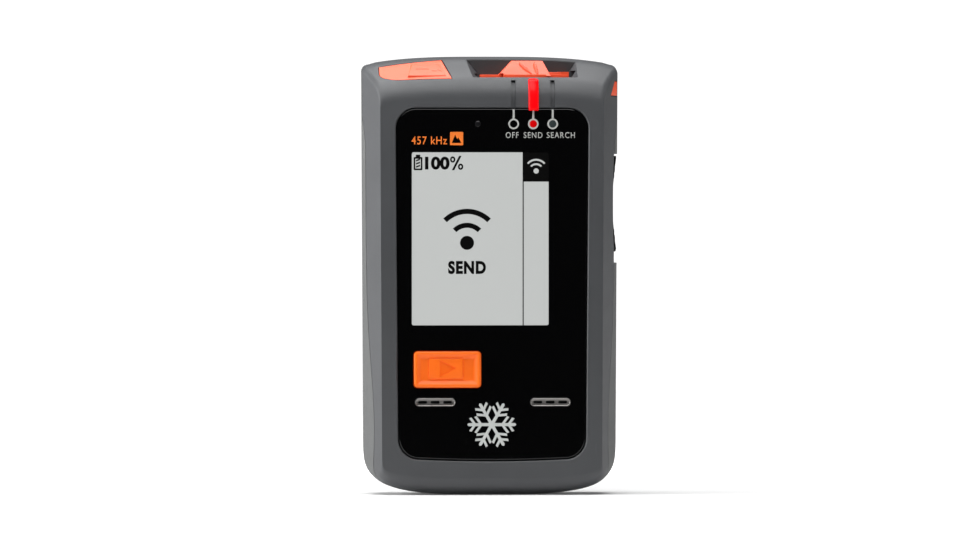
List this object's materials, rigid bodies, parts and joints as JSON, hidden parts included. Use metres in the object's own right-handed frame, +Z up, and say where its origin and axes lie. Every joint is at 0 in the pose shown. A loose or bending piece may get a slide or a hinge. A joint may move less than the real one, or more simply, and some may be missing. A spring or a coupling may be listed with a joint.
{
  "type": "avalanche transceiver",
  "caption": "Handheld avalanche transceiver with a display window, a mode slider with lock button on its shoulder, side keys and a hinged battery door.",
  "frame": {"origin": "on the ground plane under the middle of the case, which stands upright on the small flat foot of its lower end", "axes": "+Z runs up the length of the case, the display faces -Y, +X is to the right for someone reading the display"},
  "size_m": [0.07, 0.028, 0.1195],
  "materials": {
    "case_plastic": "fine satin texture",
    "seal_rubber": "soft matte",
    "key_rubber": "matte",
    "black_window": "polished, printed black behind",
    "lcd_glass": "pale grey display",
    "white_plastic": "satin",
    "black_plastic": "satin",
    "circuit_board": "solder mask",
    "orange_plastic": "satin",
    "red_light_guide": "translucent red",
    "steel": "bright",
    "nickel": "nickel plated",
    "brass": "turned",
    "ferrite": "sintered",
    "copper_winding": "enamelled copper wire",
    "cell_wrap": "printed sleeve, no lettering"
  },
  "bodies": {
    "housing": {"front_housing": "case_plastic", "rear_housing": "case_plastic", "housing_gasket": "seal_rubber", "display_window": "black_window", "window_gasket": "seal_rubber", "lcd_panel": "lcd_glass", "backlight": "white_plastic", "display_frame": "black_plastic", "main_board": "circuit_board", "side_board": "circuit_board", "send_light_guide": "red_light_guide", "search_light_guide": "white_plastic", "light_sensor": "black_plastic", "mode_sensor": "black_plastic", "speaker_grille_left": "steel", "speaker_grille_right": "steel", "speaker_left": "black_plastic", "speaker_right": "black_plastic", "main_button_switch": "nickel", "side_button_switch": "nickel", "rocker_switch_lower": "nickel", "rocker_switch_upper": "nickel", "rocker_pin": "steel", "lanyard_pin": "steel", "lock_spring": "steel", "detent_spring": "steel", "long_antenna_core": "ferrite", "long_antenna_coil": "copper_winding", "cross_antenna_core": "ferrite", "cross_antenna_coil": "copper_winding", "flat_antenna_coil": "copper_winding", "antenna_holder_lower": "seal_rubber", "antenna_holder_upper": "seal_rubber", "battery_cell_1": "cell_wrap", "battery_cell_2": "cell_wrap", "battery_cell_3": "cell_wrap", "battery_spring_1": "nickel", "battery_spring_2": "nickel", "battery_spring_3": "nickel", "contact_negative": "nickel", "contact_link_upper": "nickel", "contact_link_lower": "nickel", "contact_positive": "nickel", "screw_insert": "brass", "case_screw_1": "steel", "case_screw_2": "steel", "case_screw_3": "steel", "case_screw_4": "steel"},
    "mode_slider": {"mode_slider": "orange_plastic", "slider_pointer": "red_light_guide", "slider_carriage": "black_plastic", "slider_magnet": "nickel"},
    "lock_button": {"lock_button": "orange_plastic"},
    "main_button": {"main_button": "orange_plastic"},
    "side_button": {"side_button": "orange_plastic"},
    "rocker_key": {"rocker_key": "key_rubber"},
    "battery_door": {"battery_door": "case_plastic", "door_gasket": "seal_rubber"},
    "door_screw": {"door_screw": "nickel"}
  },
  "joints": [
    {"name": "mode_slide", "type": "slide", "parent": "housing", "child": "mode_slider", "axis": [1, 0, 0], "range_m": [-0.00527, 0.00527]},
    {"name": "lock_press", "type": "slide", "parent": "housing", "child": "lock_button", "axis": [0, 0.5736, -0.8192], "range_m": [0, 0.0008], "stiffness_N_per_m": 1000, "springref_m": -0.001, "deforming": ["lock_spring"]},
    {"name": "main_button_press", "type": "slide", "parent": "housing", "child": "main_button", "axis": [0, 1, 0], "range_m": [0, 0.0006], "stiffness_N_per_m": 1500, "springref_m": -0.0008},
    {"name": "side_button_press", "type": "slide", "parent": "housing", "child": "side_button", "axis": [-1, 0, 0], "range_m": [0, 0.0006], "stiffness_N_per_m": 1500, "springref_m": -0.0008},
    {"name": "rocker_tilt", "type": "hinge", "parent": "housing", "child": "rocker_key", "pos_m": [0.0323, 0.0019, 0.0793], "axis": [0, 1, 0], "range_deg": [-2, 2], "stiffness_Nm_per_rad": 0.8},
    {"name": "battery_door_hinge", "type": "hinge", "parent": "housing", "child": "battery_door", "pos_m": [0, 0.014, 0.0106], "axis": [-1, 0, 0], "range_deg": [0, 100]},
    {"name": "door_screw_turn", "type": "hinge", "parent": "battery_door", "child": "door_screw", "pos_m": [0, 0.0139, 0.0666], "axis": [0, 1, 0], "range_deg": [0, 1080]}
  ]
}
